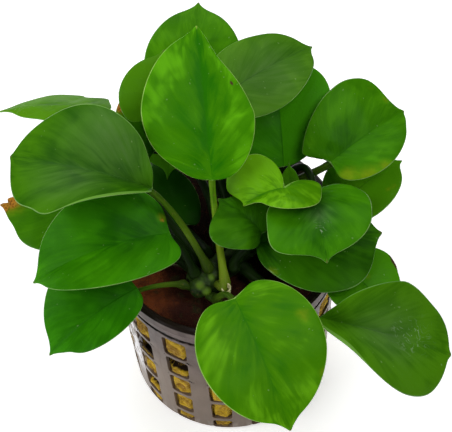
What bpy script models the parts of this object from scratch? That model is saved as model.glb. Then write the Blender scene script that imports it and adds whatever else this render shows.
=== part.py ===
"""Potted anubias: a round-leaved water plant in a slotted net pot filled with rock wool.

Metres, +Z up. The origin is the centre of the pot's foot, and the front of the plant faces -Y.
The plant is a creeping rhizome on top of the wool. Each leaf is a stalk and a leathery blade.
"""

import math

import bmesh
import bpy
from mathutils import Vector

MM = 0.001
GAP = 0.3 * MM

# Net pot
RIM_RADIUS = 28.0 * MM
RIM_HEIGHT = 54.0 * MM
RIM_WIDTH = 1.9 * MM
LIP_HEIGHT = 3.4 * MM
LIP_STEP = 0.9 * MM
FOOT_RADIUS = 25.1 * MM
FOOT_CHAMFER = 1.1 * MM
WALL = 1.0 * MM
FLOOR = 1.4 * MM
SLOT_COLUMNS = 16
SLOT_ANGLE = math.radians(13.5)
SLOT_PHASE = math.radians(-7.5)
SLOT_ROWS = 5
SLOT_TOP = 44.8 * MM
SLOT_PITCH = 9.9 * MM
SLOT_HEIGHT = 8.5 * MM
LOWEST_SLOT = 1.3 * MM
FLOOR_SLOT_INNER = 9.0 * MM
FLOOR_SLOT_OUTER = 21.0 * MM

# Rock wool plug
WOOL_EDGE_HEIGHT = 50.2 * MM
WOOL_CROWN_HEIGHT = 51.2 * MM

# Rhizome, as centre points and radii from its front growing tip to its back end
RHIZOME = (
    ((-6.8, -16.0, 54.9), 1.7),
    ((-5.6, -14.4, 55.2), 3.0),
    ((-2.2, -11.2, 55.1), 3.3),
    ((3.0, -6.4, 55.0), 3.1),
    ((8.5, -0.5, 54.8), 3.0),
    ((12.0, 6.0, 54.6), 2.9),
    ((13.0, 12.0, 54.2), 2.2),
    ((13.0, 15.0, 53.8), 1.2),
)
# Swollen buds on the rhizome: centre and radius
BUDS = (
    ((-6.6, -15.1, 56.8), 1.5),
    ((-4.9, -16.7, 56.2), 1.5),
    ((-2.5, -15.3, 54.6), 1.6),
    ((-7.6, -12.4, 54.8), 1.8),
    ((1.6, -10.4, 54.2), 1.5),
)

# Leaf blade and stalk
BLADE_THICKNESS = 0.7 * MM
BLADE_ROWS = 8
BLADE_COLUMNS = 6
NOTCH_ANGLE = 0.35
POINT_ANGLE = 0.16
CREASE = 0.5 * MM
STALK_SIDES = 6
STALK_STEPS = 5
STALK_FOOT = 1.15 * MM
STALK_TOP = 0.8 * MM

YOUNG = ("young leaf", (0.17, 0.40, 0.015))
GREEN = ("green leaf", (0.06, 0.25, 0.02))
DEEP = ("deep green leaf", (0.025, 0.14, 0.015))

# One row for each leaf, in millimetres and degrees.
# notch and tip are the two ends of the midrib; foot is where the stalk leaves the rhizome.
# half is the half width, lobe how far a basal lobe passes the notch, fold the slope of a half
# blade at the notch, egg how much wider it is near the notch, mucro and taper the length and
# width of its point; way is a place that the stalk passes half way up.
# A pair is (right, left) when looking from the notch to the tip.
LEAVES = (
    dict(tone=YOUNG, notch=(-3, -3, 80), tip=(-3, 25.5, 98), foot=(-0.3, -17.2, 57.2),
         half=(11.7, 13.5), roll=0, fold=0.12, cup=0.0, arch=1.5, lobe=1, egg=0.0,
         point=(1.7, 1.25), mucro=(6, 1.2), taper=(0.27, 0.16), way=(-2.6, -4.8, 65.6)),
    dict(tone=GREEN, notch=(-5.5, 20.5, 78), tip=(-2.5, 43, 86), foot=(6.0, -0.6, 58.4),
         half=11.5, roll=0, fold=0.1, arch=2, way=(2.5, 9.0, 66.5)),
    dict(tone=GREEN, notch=(1, 15, 86), tip=(23, 33, 80), foot=(8.4, 2.8, 58.4),
         half=(10, 9.5), roll=-12, fold=0.1, arch=2, egg=(0.2, 0.1), way=(5.0, 10.5, 68)),
    dict(tone=DEEP, notch=(-15.6, 16, 78.5), tip=(-11.2, 28.9, 86.5), foot=(1.5, -4.5, 58.6),
         half=(7.1, 7.6), roll=0, fold=0.15, arch=2),
    dict(tone=DEEP, notch=(-15, 15.9, 66.5), tip=(-22, 27.0, 74.5), foot=(-1.2, -6.0, 57.9),
         half=6.3, roll=0, fold=0.15, arch=2),
    dict(tone=GREEN, notch=(-15, -4, 80), tip=(-45.5, 4, 84), foot=(-4.0, -12.6, 59.2),
         half=(14.5, 15.5), roll=8, fold=(1.5, 1.5), flat=-0.1, arch=2, lobe=2, egg=(0.0, -0.2)),
    dict(tone=GREEN, notch=(-29.5, 27.5, 70), tip=(-50.5, 28, 70), foot=(-5.6, -9.6, 57.6),
         half=(8.3, 9), roll=-36, fold=(0.05, -0.25), cup=0.0, arch=1, lobe=(8, 3),
         way=(-18.5, 9.0, 64.3)),
    dict(tone=GREEN, notch=(-30, 5, 56), tip=(-52.5, 12, 54), foot=(-8.6, -9.6, 56.2),
         half=10, roll=20, fold=0.15, arch=2),
    dict(tone=GREEN, notch=(-12, -9, 69), tip=(-43, -15, 62), foot=(-7.2, -12.8, 57.6),
         half=(14, 12), roll=8, fold=0.45, arch=4.5, egg=0.2, lobe=(2, 3.4)),
    dict(tone=DEEP, notch=(-20.5, -15.5, 57), tip=(-41, -26.5, 49), foot=(-9.9, -14.6, 55.8),
         half=(13, 8.8), roll=8, fold=0.4, arch=3, lobe=(0.5, 1)),
    dict(tone=YOUNG, notch=(1.5, -27.5, 70), tip=(11.5, -52, 55), foot=(-2.6, -18.7, 55.3),
         half=(13.4, 15.1), roll=0, fold=0.1, arch=2, lobe=(2.5, 3.4), mucro=(2, 1.6)),
    dict(tone=DEEP, notch=(20, -28, 60), tip=(48.5, -35, 52), foot=(4.2, -10.6, 54.6),
         half=(14.2, 13.6), roll=-14, fold=1.3, flat=0.0, arch=2, lobe=1, egg=(-0.2, -0.3),
         point=(1.0, 1.25), way=(13, -21.5, 56.6)),
    dict(tone=GREEN, notch=(28, -14.3, 57), tip=(37, -24.1, 50), foot=(8.7, -5.9, 54.9),
         half=(7.5, 9), roll=0, fold=0.15, arch=2, lobe=(2.5, 5)),
    dict(tone=DEEP, notch=(7.2, -9.1, 62.5), tip=(35.4, -7.9, 62), foot=(5.8, -7.6, 57.4),
         half=(14.5, 10.8), roll=-15, fold=0.15, arch=2, lobe=1, egg=(-0.28, 0.1)),
    dict(tone=GREEN, notch=(21, -0.5, 70), tip=(22, -21, 73), foot=(13.4, 8.0, 57.2),
         half=12, roll=0, fold=0.15, arch=2, point=(0.45, 0.7), egg=(-0.2, 0.1), mucro=0.9,
         way=(19.0, 8.9, 66.2)),
    dict(tone=YOUNG, notch=(14, -3.5, 76), tip=(5.3, -5.0, 72.5), foot=(11.2, 2.6, 58.0),
         half=(10.3, 7.4), roll=12, fold=(0.2, 0.65), arch=1.5, lobe=(2, 8.6), mucro=(-4.6, 2.4),
         taper=(0.5, 0.2), egg=(-0.12, 0.3), point=(0.8, 1.0), way=(11.6, 3.6, 68.5)),
    dict(tone=DEEP, notch=(8.6, -9.2, 67), tip=(-0.2, -1.2, 69.5), foot=(1.8, -11.9, 57.7),
         half=(7, 9.2), roll=0, fold=0.15, arch=1.5, egg=(0.1, -0.25), way=(4.4, -10.6, 62.6)),
    dict(tone=GREEN, notch=(15, 9.5, 66), tip=(14.5, 32.5, 78), foot=(12.6, 10.4, 57.4),
         half=(12.4, 11.5), roll=0, fold=0.2, arch=2, lobe=(0, 2.5), egg=(-0.15, 0.1),
         point=(0.8, 1.0)),
    dict(tone=GREEN, notch=(25.5, 7, 70), tip=(43.5, 20, 70), foot=(15.4, 9.8, 56.4),
         half=(10, 13.5), roll=-15, fold=0.35, arch=2, egg=(0.15, -0.25), point=(1.0, 0.8)),
    dict(tone=GREEN, notch=(27.5, 1, 60), tip=(42.5, 11.5, 62), foot=(14.0, 0.4, 55.4),
         half=(8.3, 9.5), roll=0, fold=0.15, arch=2),
    dict(tone=DEEP, notch=(15.9, 3.1, 65), tip=(15.9, 5.6, 72), foot=(14.8, 3.8, 57.4),
         half=2.2, roll=0, fold=0.15, arch=1, mucro=0.5, lobe=0.3),
    dict(tone=DEEP, notch=(-10.3, 22.7, 63.4), tip=(-12.3, 12.2, 61.4), foot=(3.0, -2.4, 57.4),
         half=6, roll=0, fold=0.15, arch=2),
    dict(tone=DEEP, notch=(-9.1, 1.0, 57), tip=(-14.6, 17.1, 57.5), foot=(-4.3, -6.8, 56.8),
         half=6, roll=0, fold=0.15, arch=2),
)


def clear_scene():
    for thing in list(bpy.data.objects):
        bpy.data.objects.remove(thing, do_unlink=True)


def material(name, colour, roughness, metallic=0.0):
    made = bpy.data.materials.new(name)
    made.use_nodes = True
    shader = made.node_tree.nodes["Principled BSDF"]
    shader.inputs["Base Color"].default_value = (*colour, 1.0)
    shader.inputs["Roughness"].default_value = roughness
    shader.inputs["Metallic"].default_value = metallic
    return made


def place(name, shape, finish):
    """Turns a bmesh into a named object of the scene."""
    bmesh.ops.recalc_face_normals(shape, faces=shape.faces)
    mesh = bpy.data.meshes.new(name)
    shape.to_mesh(mesh)
    shape.free()
    mesh.shade_smooth()
    mesh.set_sharp_from_angle(angle=math.radians(40))
    mesh.materials.append(finish)
    made = bpy.data.objects.new(name, mesh)
    bpy.context.scene.collection.objects.link(made)
    return made


def wall_radius(height):
    """The wall's outer radius, which grows evenly from the foot to under the lip."""
    top = RIM_RADIUS - LIP_STEP
    return FOOT_RADIUS + (top - FOOT_RADIUS) * height / (RIM_HEIGHT - LIP_HEIGHT)


def slot_rows():
    """(bottom, top) of each row of slots, from the foot up."""
    rows = []
    for row in reversed(range(SLOT_ROWS)):
        top = SLOT_TOP - row * SLOT_PITCH
        rows.append((max(top - SLOT_HEIGHT, LOWEST_SLOT), top))
    return rows


def turned(profile):
    """A closed solid turned from (radius, height) points that start and end on the axis.

    Two facets make up each pitch of the slots: one as wide as a slot, one as wide as a rib.
    """
    shape = bmesh.new()
    points = [shape.verts.new((0.0, -radius, height)) for radius, height in profile]
    edges = [shape.edges.new(pair) for pair in zip(points, points[1:])]
    facets = SLOT_COLUMNS * 2
    bmesh.ops.spin(shape, geom=points + edges, cent=(0, 0, 0), axis=(0, 0, 1),
                   angle=math.tau, steps=facets, use_merge=True)
    pitch = math.tau / SLOT_COLUMNS
    for vert in shape.verts:
        radius = math.hypot(vert.co.x, vert.co.y)
        if radius < 1e-6:
            continue
        index = round((math.atan2(vert.co.y, vert.co.x) + math.pi / 2) / (math.tau / facets))
        column, side = divmod(index, 2)
        angle = SLOT_PHASE - math.pi / 2 + column * pitch + (side - 0.5) * SLOT_ANGLE
        vert.co.x = radius * math.cos(angle)
        vert.co.y = radius * math.sin(angle)
    bmesh.ops.remove_doubles(shape, verts=shape.verts, dist=1e-6)
    bmesh.ops.recalc_face_normals(shape, faces=shape.faces)
    return shape


def in_slot_column(face):
    """Whether a face lies on a facet as wide as a slot."""
    centre = face.calc_center_median()
    angle = math.atan2(centre.y, centre.x) + math.pi / 2 - SLOT_PHASE
    pitch = math.tau / SLOT_COLUMNS
    return abs((angle + pitch / 2) % pitch - pitch / 2) < SLOT_ANGLE / 4


def open_slots(shape, chosen, column_of):
    """Removes pairs of facing faces and walls the hole between each pair."""
    groups = {}
    for face in chosen:
        groups.setdefault(column_of(face), []).append(face)
    for pair in groups.values():
        edges = [edge for face in pair for edge in face.edges]
        bmesh.ops.delete(shape, geom=pair, context="FACES_ONLY")
        bmesh.ops.bridge_loops(shape, edges=edges)


def make_pot(finish):
    inner = RIM_RADIUS - RIM_WIDTH
    profile = [(0.0, 0.0), (FLOOR_SLOT_INNER, 0.0), (FLOOR_SLOT_OUTER, 0.0)]
    profile += [(FOOT_RADIUS - FOOT_CHAMFER, 0.0), (wall_radius(LOWEST_SLOT), LOWEST_SLOT)]
    heights = [height for row in slot_rows() for height in row]
    profile += [(wall_radius(height), height) for height in heights[1:]]
    under_lip = RIM_HEIGHT - LIP_HEIGHT
    profile += [(wall_radius(under_lip), under_lip), (RIM_RADIUS, under_lip + 0.5 * MM)]
    profile += [(RIM_RADIUS, RIM_HEIGHT - 0.4 * MM), (RIM_RADIUS - 0.4 * MM, RIM_HEIGHT)]
    profile += [(inner + 0.2 * MM, RIM_HEIGHT), (inner, RIM_HEIGHT - 0.4 * MM)]
    inside = heights[::-1][:-1] + [FLOOR + 0.2 * MM]
    profile += [(min(inner, wall_radius(height) - WALL), height) for height in inside]
    profile += [(FLOOR_SLOT_OUTER, FLOOR), (FLOOR_SLOT_INNER, FLOOR), (0.0, FLOOR)]
    shape = turned(profile)

    wall_faces = []
    floor_faces = []
    for face in shape.faces:
        centre = face.calc_center_median()
        if not in_slot_column(face):
            continue
        low = min(vert.co.z for vert in face.verts)
        high = max(vert.co.z for vert in face.verts)
        for bottom, top in slot_rows():
            opened = bottom - 1e-5 < centre.z < top and high - low > 2 * MM
            if opened and abs(high - top) < 1e-5:
                wall_faces.append(face)
        radius = math.hypot(centre.x, centre.y)
        if high - low < 1e-6 and FLOOR_SLOT_INNER < radius < FLOOR_SLOT_OUTER:
            floor_faces.append(face)

    def wall_place(face):
        centre = face.calc_center_median()
        high = max(vert.co.z for vert in face.verts)
        return round(math.atan2(centre.y, centre.x), 2), round(high, 4)

    def floor_place(face):
        centre = face.calc_center_median()
        return round(math.atan2(centre.y, centre.x), 2)

    open_slots(shape, wall_faces, wall_place)
    open_slots(shape, floor_faces, floor_place)
    return place("net_pot", shape, finish)


def make_wool(finish):
    low = FLOOR + 0.5 * MM
    side = RIM_RADIUS - RIM_WIDTH
    profile = [(0.0, low), (wall_radius(low) - WALL - 3 * GAP, low)]
    for height in (low + 3 * MM, SLOT_TOP):
        profile.append((min(side, wall_radius(height) - WALL) - 1.5 * GAP, height))
    profile.append((side - 1.5 * GAP, WOOL_EDGE_HEIGHT - 0.8 * MM))
    profile.append((side - 2.0 * MM, WOOL_EDGE_HEIGHT))
    profile.append((side * 0.55, WOOL_CROWN_HEIGHT - 0.2 * MM))
    profile.append((0.0, WOOL_CROWN_HEIGHT))
    return place("rock_wool_plug", turned(profile), finish)


def make_rhizome(finish):
    curve = bpy.data.curves.new("rhizome", "CURVE")
    curve.dimensions = "3D"
    curve.bevel_depth = MM
    curve.bevel_resolution = 1
    curve.use_fill_caps = True
    spline = curve.splines.new("POLY")
    spline.points.add(len(RHIZOME) - 1)
    for point, (centre, radius) in zip(spline.points, RHIZOME):
        point.co = (*(Vector(centre) * MM), 1.0)
        point.radius = radius
    curve.materials.append(finish)
    stem = bpy.data.objects.new("rhizome_curve", curve)
    bpy.context.scene.collection.objects.link(stem)
    mesh = bpy.data.meshes.new_from_object(stem.evaluated_get(bpy.context.evaluated_depsgraph_get()))
    bpy.data.objects.remove(stem, do_unlink=True)
    shape = bmesh.new()
    shape.from_mesh(mesh)
    bmesh.ops.remove_doubles(shape, verts=shape.verts, dist=1e-6)
    rhizome = place("rhizome", shape, finish)
    for number, (centre, radius) in enumerate(BUDS, 1):
        swelling = bmesh.new()
        bmesh.ops.create_icosphere(swelling, subdivisions=1, radius=radius * MM)
        bmesh.ops.translate(swelling, verts=swelling.verts, vec=Vector(centre) * MM)
        bud = place(f"bud_{number}", swelling, finish)
        bud.hide_render = True
        bud.display_type = "WIRE"
        join = rhizome.modifiers.new(f"bud {number}", "BOOLEAN")
        join.operation = "UNION"
        join.object = bud
    return rhizome


def pair(value):
    """(right, left) of a leaf's measure that may be one number."""
    return value if isinstance(value, tuple) else (value, value)


def leaf_axes(leaf):
    """Notch, midrib length, and the blade's right, forward and upward directions."""
    notch = Vector(leaf["notch"]) * MM
    along = Vector(leaf["tip"]) * MM - notch
    forward = along.normalized()
    level = forward.cross(Vector((0, 0, 1))).normalized()
    up = level.cross(forward)
    roll = math.radians(leaf["roll"])
    right = level * math.cos(roll) + up * math.sin(roll)
    normal = up * math.cos(roll) - level * math.sin(roll)
    return notch, along.length, right, forward, normal


def blade_point(leaf, station, across):
    """A point of the blade's middle surface.

    station runs along the margin from the notch (0) to the tip (1), and across from the left
    margin (-1) over the midrib (0) to the right margin (1).
    """
    notch, length, right, forward, normal = leaf_axes(leaf)
    side = 1 if across < 0 else 0
    half = pair(leaf["half"])[side] * MM
    lobe = pair(leaf.get("lobe", 2.5))[side] * MM
    mucro = pair(leaf.get("mucro", 1.2))[side] * MM
    taper = pair(leaf.get("taper", POINT_ANGLE))[side]
    turn = math.pi * (1 - station)
    ahead = math.cos(turn)
    if ahead > 0:
        ahead = ahead ** pair(leaf.get("point", 1.0))[side]
    middle = (length - mucro - lobe) / 2
    reach = (length - mucro + lobe) / 2
    margin_y = middle + reach * ahead
    margin_y += lobe * math.exp(-(((math.pi - turn) / NOTCH_ANGLE) ** 2))
    margin_y += mucro * math.exp(-((turn / taper) ** 2))
    egg = pair(leaf.get("egg", 0.1))[side]
    margin_x = half * math.sin(turn) * (1 - egg * math.cos(turn))
    rib_y = length * station ** 1.5
    x = margin_x * across
    y = rib_y + (margin_y - rib_y) * abs(across)
    slope = pair(leaf["fold"])[side]
    if "flat" in leaf:
        slope += (leaf["flat"] - slope) * min(max(y / length, 0), 1)
    tilt = math.atan(slope)
    rise = math.sin(tilt) * (math.hypot(x, CREASE) - CREASE)
    rise += leaf.get("cup", -0.1) * x * x / half
    rise += leaf["arch"] * MM * 4 * (y / length) * (1 - y / length)
    return notch + right * (x * math.cos(tilt)) + forward * y + normal * rise


def make_blade(number, leaf, finish):
    shape = bmesh.new()
    bmesh.ops.create_grid(shape, x_segments=BLADE_COLUMNS, y_segments=BLADE_ROWS, size=0.5)
    for vert in shape.verts:
        vert.co = blade_point(leaf, vert.co.y + 0.5, vert.co.x * 2)
    bmesh.ops.remove_doubles(shape, verts=shape.verts, dist=1e-6)
    blade = place(f"leaf_{number:02d}", shape, finish)
    skin = blade.modifiers.new("thickness", "SOLIDIFY")
    skin.thickness = BLADE_THICKNESS
    skin.offset = 0.0
    return blade


def stalk_path(leaf):
    """Points from the stalk's foot on the rhizome to its top under the blade's notch."""
    notch, length, right, forward, normal = leaf_axes(leaf)
    foot = Vector(leaf["foot"]) * MM
    top = notch + forward * 0.6 * MM - normal * (BLADE_THICKNESS / 2 + GAP + STALK_TOP)
    span = (top - foot).length
    rising = (top - foot).normalized()
    leave = (rising + Vector((0, 0, 0.45))).normalized()
    arrive = (rising * 0.7 + forward * 0.5).normalized()
    first = foot + leave * span * 0.35
    second = top - arrive * span * 0.3
    if "way" in leaf:
        middle = (foot + first * 3 + second * 3 + top) / 8
        shift = (Vector(leaf["way"]) * MM - middle) * 4 / 3
        first += shift
        second += shift
    points = []
    for step in range(STALK_STEPS + 1):
        t = step / STALK_STEPS
        start = foot.lerp(first, t).lerp(first.lerp(second, t), t)
        end = first.lerp(second, t).lerp(second.lerp(top, t), t)
        points.append(start.lerp(end, t))
    return points


def make_stalk(number, leaf, finish):
    points = stalk_path(leaf)
    shape = bmesh.new()
    rings = []
    side = Vector((1, 0, 0))
    for step, point in enumerate(points):
        ahead = points[min(step + 1, len(points) - 1)] - points[max(step - 1, 0)]
        ahead.normalize()
        side = (side - ahead * side.dot(ahead)).normalized()
        other = ahead.cross(side)
        radius = STALK_FOOT + (STALK_TOP - STALK_FOOT) * step / STALK_STEPS
        ring = []
        for corner in range(STALK_SIDES):
            angle = math.tau * corner / STALK_SIDES
            offset = side * math.cos(angle) + other * math.sin(angle)
            ring.append(shape.verts.new(point + offset * radius))
        rings.append(ring)
    loops = []
    for ring in rings:
        loops.append([shape.edges.new((ring[i - 1], ring[i])) for i in range(STALK_SIDES)])
    for lower, upper in zip(loops, loops[1:]):
        bmesh.ops.bridge_loops(shape, edges=lower + upper)
    shape.faces.new(rings[0])
    shape.faces.new(rings[-1])
    return place(f"stalk_{number:02d}", shape, finish)


def make_sheath(finish):
    """The dry, curled sheath end beside the foot of the front stalk."""
    shape = bmesh.new()
    bmesh.ops.create_grid(shape, x_segments=6, y_segments=2, size=0.5)
    for vert in shape.verts:
        turn = vert.co.x * math.radians(250)
        radius = 1.0 * MM
        height = vert.co.y * 2.0 * MM
        vert.co = Vector((-0.2, -18.4, 58.8)) * MM + Vector(
            (radius * math.sin(turn), -radius * math.cos(turn), height))
    sheath = place("dry_sheath", shape, finish)
    skin = sheath.modifiers.new("thickness", "SOLIDIFY")
    skin.thickness = 0.35 * MM
    return sheath


def main():
    clear_scene()
    make_pot(material("black plastic", (0.03, 0.027, 0.03), 0.35))
    make_wool(material("rock wool", (0.42, 0.27, 0.07), 0.95))
    make_rhizome(material("rhizome", (0.06, 0.13, 0.03), 0.5))
    make_sheath(material("dry sheath", (0.6, 0.55, 0.3), 0.7))
    stalk_finish = material("stalk", (0.09, 0.22, 0.02), 0.4)
    tones = {}
    for number, leaf in enumerate(LEAVES, 1):
        name, colour = leaf["tone"]
        if name not in tones:
            tones[name] = material(name, colour, 0.4)
        make_blade(number, leaf, tones[name])
        make_stalk(number, leaf, stalk_finish)


main()
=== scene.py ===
"""Potted anubias: a round-leaved water plant in a black net pot filled with rock wool.

Metres, +Z up. The pot's foot stands on the floor at the origin and the front faces -Y.
"""

import math
import random

import bmesh
import bpy
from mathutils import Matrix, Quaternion, Vector, noise


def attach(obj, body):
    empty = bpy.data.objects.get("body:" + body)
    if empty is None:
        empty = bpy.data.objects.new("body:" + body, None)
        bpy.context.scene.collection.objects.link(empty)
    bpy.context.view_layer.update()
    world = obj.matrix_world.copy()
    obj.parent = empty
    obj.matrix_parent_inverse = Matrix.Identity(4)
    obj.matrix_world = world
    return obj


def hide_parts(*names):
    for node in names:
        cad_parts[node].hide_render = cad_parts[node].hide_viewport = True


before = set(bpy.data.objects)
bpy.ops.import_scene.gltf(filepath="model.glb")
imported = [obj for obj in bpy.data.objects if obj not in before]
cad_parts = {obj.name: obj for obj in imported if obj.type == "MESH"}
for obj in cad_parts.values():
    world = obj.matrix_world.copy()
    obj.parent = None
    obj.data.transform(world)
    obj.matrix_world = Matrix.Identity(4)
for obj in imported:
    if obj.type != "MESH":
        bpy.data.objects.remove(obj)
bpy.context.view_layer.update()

# Studio: a white floor, large soft lights and a long lens that looks down from the front.
# The widest light hangs behind the plant, where level leaves pick up its broad grey sheen.
MM = 0.001
LENS = 118.2
CAMERA_AT = (0.0, -0.1911, 0.3472)
CAMERA_AIM = (0.00084, 0.0047, 0.054)
CAMERA_ROLL = math.radians(-3.5)
FLOOR_SIZE = 3.0
SOFTBOXES = (
    # place, size, watts
    ((-0.10, 0.62, 0.85), (0.9, 0.6), 4.6),
    ((-0.75, -0.25, 0.60), (0.6, 0.6), 5.4),
    ((0.45, -0.25, 0.95), (0.5, 0.5), 4.2),
)
ROOM_LIGHT = 0.05
FLOOR_GLOW = 0.50


def look(thing, target, roll=0.0):
    """Turns a camera or light to face a point, then rolls it about its line of sight."""
    sight = Vector(target) - thing.location
    thing.rotation_mode = "QUATERNION"
    thing.rotation_quaternion = sight.to_track_quat("-Z", "Y") @ Quaternion((0, 0, 1), roll)
    bpy.context.scene.collection.objects.link(thing)


camera = bpy.data.objects.new("camera", bpy.data.cameras.new("camera"))
camera.data.lens = LENS
camera.data.clip_start = 0.01
camera.location = CAMERA_AT
look(camera, CAMERA_AIM, CAMERA_ROLL)
bpy.context.scene.camera = camera

for number, (place, size, watts) in enumerate(SOFTBOXES, 1):
    softbox = bpy.data.objects.new(f"softbox_{number}", bpy.data.lights.new("softbox", "AREA"))
    softbox.data.shape = "RECTANGLE"
    softbox.data.size, softbox.data.size_y = size
    softbox.data.energy = watts
    softbox.location = place
    look(softbox, (0, 0, 0.05))

room = bpy.data.worlds.new("room")
room.use_nodes = True
backdrop = room.node_tree.nodes["Background"]
backdrop.inputs["Color"].default_value = (1.0, 1.0, 1.0, 1.0)
backdrop.inputs["Strength"].default_value = ROOM_LIGHT
bpy.context.scene.world = room
bpy.context.scene.view_settings.view_transform = "Standard"

shape = bmesh.new()
bmesh.ops.create_grid(shape, x_segments=1, y_segments=1, size=FLOOR_SIZE / 2)
floor_mesh = bpy.data.meshes.new("floor")
shape.to_mesh(floor_mesh)
shape.free()
floor_paint = bpy.data.materials.new("white floor")
floor_paint.use_nodes = True
for socket, value in (("Base Color", (0.9, 0.9, 0.9, 1.0)), ("Roughness", 0.9),
                      ("Emission Color", (1.0, 1.0, 1.0, 1.0)), ("Emission Strength", FLOOR_GLOW)):
    floor_paint.node_tree.nodes["Principled BSDF"].inputs[socket].default_value = value
floor_mesh.materials.append(floor_paint)
floor = bpy.data.objects.new("floor", floor_mesh)
bpy.context.scene.collection.objects.link(floor)


# Net pot: one black plastic moulding with a rim lip, a thin groove under it and rows of oblong
# slots that narrow with the wall towards the foot. The flat foot has openings of its own.
RIM_RADIUS = 28.0
RIM_HEIGHT = 54.0
RIM_WIDTH = 1.9
LIP_HEIGHT = 3.4
LIP_STEP = 0.9
FOOT_RADIUS = 25.1
FOOT_CHAMFER = 1.1
WALL = 1.0
FLOOR = 1.4
SLOT_COLUMNS = 16
SLOT_FACETS = 5
RIB_FACETS = 3
SLOT_ANGLE_TOP = math.radians(13.5)
SLOT_ANGLE_FOOT = math.radians(11.0)
SLOT_PHASE = math.radians(-7.5)
SLOT_TOPS = (44.8, 34.9, 25.0, 15.1, 5.2)
SLOT_BOTTOMS = (36.3, 26.4, 16.5, 6.6, 1.3)
SLOT_CORNER = 1.0
SLOT_CORNER_SHARE = 0.9
SLOT_CORNER_SEGMENTS = 3
GROOVE = (46.1, 47.3)
GROOVE_DEPTH = 0.35
GROOVE_SLOPE = 0.3
LIP_ROUNDING = 0.5
LIP_INNER_ROUNDING = 0.4
FLOOR_RISE = 0.2
FLOOR_SLOTS = (9.0, 21.0)
EDGE_ROUNDING = 0.22
SHARP_BEND = math.radians(35)
NEAR_ENOUGH = 0.01
SAME_PLACE = 1e-6
CORNER_BEND = math.radians(120)
BLACK = (0.012, 0.007, 0.005)


def both_ways(operation):
    """An operator's two methods, with the field on its left and with the field on its right."""
    return (lambda left, right: left.math(operation, left, right),
            lambda right, left: right.math(operation, left, right))


class Field:
    """A value in a finish's nodes. Python's operators on it add Math nodes."""

    def __init__(self, tree, socket):
        self.tree = tree
        self.socket = socket

    def math(self, operation, *values):
        return node(self.tree, "Math", {"operation": operation}, dict(enumerate(values)))

    __add__, __radd__ = both_ways("ADD")
    __sub__, __rsub__ = both_ways("SUBTRACT")
    __mul__, __rmul__ = both_ways("MULTIPLY")
    __truediv__, __rtruediv__ = both_ways("DIVIDE")
    __pow__, __rpow__ = both_ways("POWER")

    def __abs__(self):
        return self.math("ABSOLUTE", self)

    def between(self, low, high):
        """0 up to low, 1 from high, and smooth in between; low may be the larger one."""
        return node(self.tree, "MapRange", {"interpolation_type": "SMOOTHSTEP"},
                    {0: self, 1: low, 2: high, 3: 0.0, 4: 1.0})


def node(tree, kind, settings, inputs, output=0):
    """Adds one shader node: its type, its settings, then the values or links of its sockets."""
    made = tree.nodes.new("ShaderNode" + kind)
    for name, value in settings.items():
        setattr(made, name, value)
    for name, value in inputs.items():
        socket = made.inputs[name]
        if isinstance(value, Field):
            tree.links.new(value.socket, socket)
        elif socket.type == "RGBA":
            socket.default_value = (*value, 1.0)
        else:
            socket.default_value = value
    return Field(tree, made.outputs[output])


class Finish:
    """A procedural material. Its place on the object is read in millimetres."""

    def __init__(self, name, **constants):
        self.material = bpy.data.materials.new(name)
        self.material.use_nodes = True
        self.tree = self.material.node_tree
        self.shader = self.tree.nodes["Principled BSDF"]
        for socket, value in constants.items():
            self.shader.inputs[socket.replace("_", " ")].default_value = value
        here = self.node("TexCoord", {}, {}, 3)
        self.place = self.scaled(here, (1 / MM, 1 / MM, 1 / MM))

    def node(self, kind, settings, inputs, output=0):
        """Adds a node to this finish, as node() does."""
        return node(self.tree, kind, settings, inputs, output)

    def scaled(self, vector, factors):
        """A vector or a colour with each of its three parts multiplied."""
        return self.node("VectorMath", {"operation": "MULTIPLY"}, {0: vector, 1: factors})

    def axes(self, vector):
        """The three parts of a vector."""
        return [self.node("SeparateXYZ", {}, {0: vector}, axis) for axis in range(3)]

    def texture(self, where, scale, detail, distortion):
        """A noise texture that is read at this place."""
        return self.node("TexNoise", {}, {"Vector": where, "Scale": scale, "Detail": detail,
                                          "Distortion": distortion})

    def noise(self, per_mm, detail=3.0, stretch=(1, 1, 1), distortion=0.0):
        """Cloudy noise about 0.5, with this many features in a millimetre."""
        return self.texture(self.scaled(self.place, stretch), per_mm, detail, distortion)

    def streaks(self, across, along, seed, detail, distortion=0.0):
        """Noise about 0.5 over the piece's own map, from how far across and along it is."""
        where = self.node("CombineXYZ", {}, {0: across, 1: along, 2: seed})
        return self.texture(where, 1.0, detail, distortion)

    def own_map(self):
        """Across and along on the piece's own UV map, 0 to 1."""
        return self.axes(self.node("TexCoord", {}, {}, 2))[:2]

    def own(self, name):
        """A number stored on the piece's own points."""
        return self.node("Attribute", {"attribute_name": name}, {}, 2)

    def mix(self, colour, *coats):
        """A colour with (share, colour) coats over it, each laid on where its share is 1."""
        for share, coat in coats:
            colour = self.node("Mix", {"data_type": "RGBA"}, {0: share, 6: colour, 7: coat}, 2)
        return colour

    def use(self, colour, roughness, height, **others):
        """Links the finish; height is the surface relief in millimetres."""
        relief = self.node("Bump", {}, {"Strength": 1.0, "Distance": MM, "Height": height})
        links = {"Base Color": colour, "Roughness": roughness, "Normal": relief}
        links.update((name.replace("_", " "), value) for name, value in others.items())
        for name, value in links.items():
            if isinstance(value, Field):
                self.tree.links.new(value.socket, self.shader.inputs[name])
            else:
                self.shader.inputs[name].default_value = value


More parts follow.
